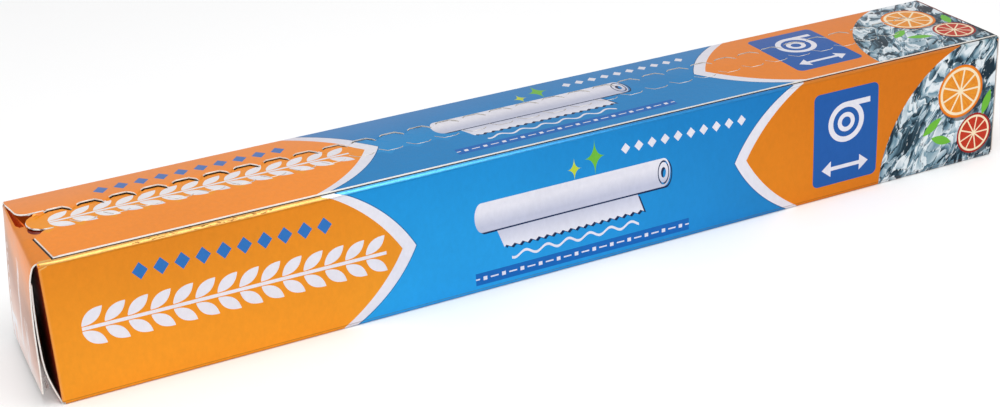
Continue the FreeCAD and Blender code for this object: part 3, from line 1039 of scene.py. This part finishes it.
def add_camera():
    data = bpy.data.cameras.new("camera")
    data.sensor_width = SENSOR
    data.lens = FOCAL_PIXELS / IMAGE_WIDTH * SENSOR
    data.shift_x = (IMAGE_WIDTH / 2 - OPTICAL_CENTRE) / IMAGE_WIDTH
    data.clip_start = 0.02
    data.clip_end = 50
    camera = bpy.data.objects.new("camera", data)
    matrix = Matrix.Identity(4)
    for row in range(3):
        matrix[row][0] = CAMERA_RIGHT[row]
        matrix[row][1] = -CAMERA_DOWN[row]
        matrix[row][2] = -CAMERA_AHEAD[row]
    matrix.translation = CAMERA_PLACE
    camera.matrix_world = matrix
    bpy.context.scene.collection.objects.link(camera)
    bpy.context.scene.camera = camera


def add_softbox(name, place, target, size, power):
    data = bpy.data.lights.new(name, "AREA")
    data.shape = "RECTANGLE"
    data.size = size[0]
    data.size_y = size[1]
    data.energy = power
    light = bpy.data.objects.new(name, data)
    light.location = place
    light.rotation_euler = (Vector(target) - Vector(place)).to_track_quat("-Z", "Y").to_euler()
    bpy.context.scene.collection.objects.link(light)


def add_world():
    """Even studio white, brighter overhead than at the sides."""
    world = bpy.data.worlds.new("studio")
    bpy.context.scene.world = world
    world.use_nodes = True
    tree = world.node_tree
    split = tree.nodes.new("ShaderNodeSeparateXYZ")
    tree.links.new(tree.nodes.new("ShaderNodeTexCoord").outputs["Generated"], split.inputs[0])
    height = Field(tree, split.outputs[2])
    colour = mixed(tree, (height * 1.4).clamped(), WORLD_SIDES, WORLD_ABOVE)
    background = tree.nodes["Background"]
    tree.links.new(colour, background.inputs["Color"])
    background.inputs["Strength"].default_value = WORLD_STRENGTH


def add_floor():
    mesh = bmesh.new()
    bmesh.ops.create_grid(mesh, x_segments=1, y_segments=1, size=4.0)
    data = bpy.data.meshes.new("floor")
    mesh.to_mesh(data)
    mesh.free()
    floor = bpy.data.objects.new("floor", data)
    bpy.context.scene.collection.objects.link(floor)
    material, tree, shader, place, (x, y, z) = new_material("pale_floor")
    cloud = noise_field(tree, place, 0.004, 2.0)
    tree.links.new(mixed(tree, cloud, ink(251, 251, 251), ink(254, 254, 254)), shader.inputs["Base Color"])
    shader.inputs["Roughness"].default_value = 0.7
    data.materials.append(material)


# Parts of the carton's sheet, as the numbers of its materials
FRONT_PRINT, LID, BACK_PRINT, BASE_PRINT, END, DUST_FLAP, BARE, EDGE, TIP_GLOW = range(9)

# Film
FILM_METAL = 0.55
FILM_ROUGHNESS = 0.28
FILM_RELIEF = 0.00009
LID_METAL = 0.3
FILM_GLOSS = 0.25
# painted light on the sunk tear strip
STRIP_PAINTED_LIGHT = (1.16, 1.14, 1.06)
PULP_DEEP = (0.86, 0.62, 0.4)
FILM_SHADE = (0.86, 0.86, 0.87, 1.0)
FILM_LIGHT = (1.0, 1.0, 1.0, 1.0)
FOLD_HIGHLIGHT_TINT = (1.12, 1.8, 1.5)  # tint of the painted highlight on an ink
FOLD_PALE = 0.16
DARK_BROWN = ink(96, 58, 18)
# painted shadow beside and under the lid's left end
LID_EDGE_SHADOW = ink(30, 6, 1)
TONGUE_SHADOW_CENTRE = (4.2, -0.2)  # painted shadow beside the tear strip's tip, as along and y in mm
TONGUE_SHADOW_HALF = (2.1, 3.3)
TIP_SHADOW = ink(128, 28, 0)
# painted highlight on the front's left fold
SIDE_FOLD_HIGHLIGHT = ink(250, 170, 100)
# painted sheen towards the lid's back edge
LID_PAINTED_SHEEN = ink(210, 172, 166)
PALE_MARK = ink(255, 252, 255)
# painted shade of the dust flaps
FLAP_SHADED_ORANGE = ink(206, 58, 18)
FLAP_SHADOW = ink(22, 8, 5)
# painted glow under the lid's left tip
TIP_GLOW_ORANGE = ink(236, 110, 28)
TIP_GLOW_RED = ink(214, 84, 18)
END_BACK = ink(206, 166, 146)
# painted shade and reflection on the end flaps
END_SHADE = ink(164, 112, 88)
END_LIGHT_STOPS = (
    (0.0, ink(250, 222, 214)),
    (0.16, ink(255, 240, 234)),
    (0.3, ink(232, 194, 178)),
    (0.5, ink(196, 144, 120)),
    (0.64, ink(200, 136, 98)),
    (0.78, ink(238, 152, 84)),
    (0.95, ink(250, 147, 48)),
)

# Printed foil picture
CRINKLE_SQUEEZE = 0.4  # a small share makes the facets long
CRINKLE_TONE = 0.2
CRINKLES = ((0.3, 0.5, 1.1), (0.62, 0.34, 0.9))  # scale, spread of tones and tilt
CREASE_SCALE = 0.3
FOIL_STOPS = (
    (0.12, FOIL_DARK),
    (0.32, ink(56, 84, 100)),
    (0.5, FOIL_MIDDLE),
    (0.64, ink(180, 200, 210)),
    (0.78, FOIL_LIGHT),
)
SLICE_SEGMENTS = 9
ROLL_END_UP = 25.0
ARROW_UP = 10.0

# Shape of the sheet
SHARP = 30
FRONT_BULGE = 0.00030
LID_BULGE = 0.00020
BASE_HOLLOW = 0.00030
WAVE = 0.00016
STRIP_SINK = 0.00052
STRIP_LIFT = 0.00015
FOLD_ROUND = 0.0013
FOLD_SAG = 0.00018
EDGE_CRUSH = 0.00018
TIP_SHADE_REACH = 0.008
TIP_SHADE_DEPTH = 0.009
FLAP_SHIFTS = (0.0004, -0.0006)  # outer flap inwards, and the one inside it outwards
FIBRE_COUNT = 26
FIBRE_STEPS = 4
FIBRE_ROOT = Vector((LEFT - 0.0026, FRONT + 0.0016, 0.0072))
CUT_LEAD = 8.3
CUT_PITCH = 8.7
CUT_RUN = 4.9
CUT_HALF = 0.17
TICK_RUN = 1.1
TICK_DROP = 0.8
HOOK_RUN = 2.0
HOOK_DROP = 2.6
STRIP_BACK = 12.5
STRIP_WIDTH = 11.9
ROLL_AXIS = (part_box("foil_roll")[0].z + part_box("foil_roll")[1].z) / 2
CORE_LEAD = 70.0

# Light
WORLD_STRENGTH = 0.605
WORLD_SIDES = (0.78, 0.79, 0.81, 1.0)
WORLD_ABOVE = (1.0, 1.0, 1.0, 1.0)

bpy.context.scene.view_settings.view_transform = "Standard"
add_camera()
add_world()
add_softbox("key", (0.02, -0.30, 1.0), (0, 0, 0), (0.8, 0.9), 7.05)
add_softbox("fill", (-0.9, -0.5, 0.7), (-0.1, 0, 0), (0.8, 0.8), 1.4)
add_floor()

random.seed(9)
prints = print_group()
white_board = board_material("bare_board", ink(206, 200, 190), ink(168, 160, 150), 0.00003)
cut_board = board_material("cut_board", ink(255, 252, 247), ink(230, 225, 218), 0.00003)
carton_piece([
    front_material(prints), lid_material(prints), back_material(prints),
    base_material(), end_material(), flap_material(), white_board, cut_board, tip_glow_material(),
])
add_fibres()
for node, make in (("foil_roll", foil_material), ("core_tube", core_material)):
    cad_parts[node].data.materials.clear()
    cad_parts[node].data.materials.append(make())
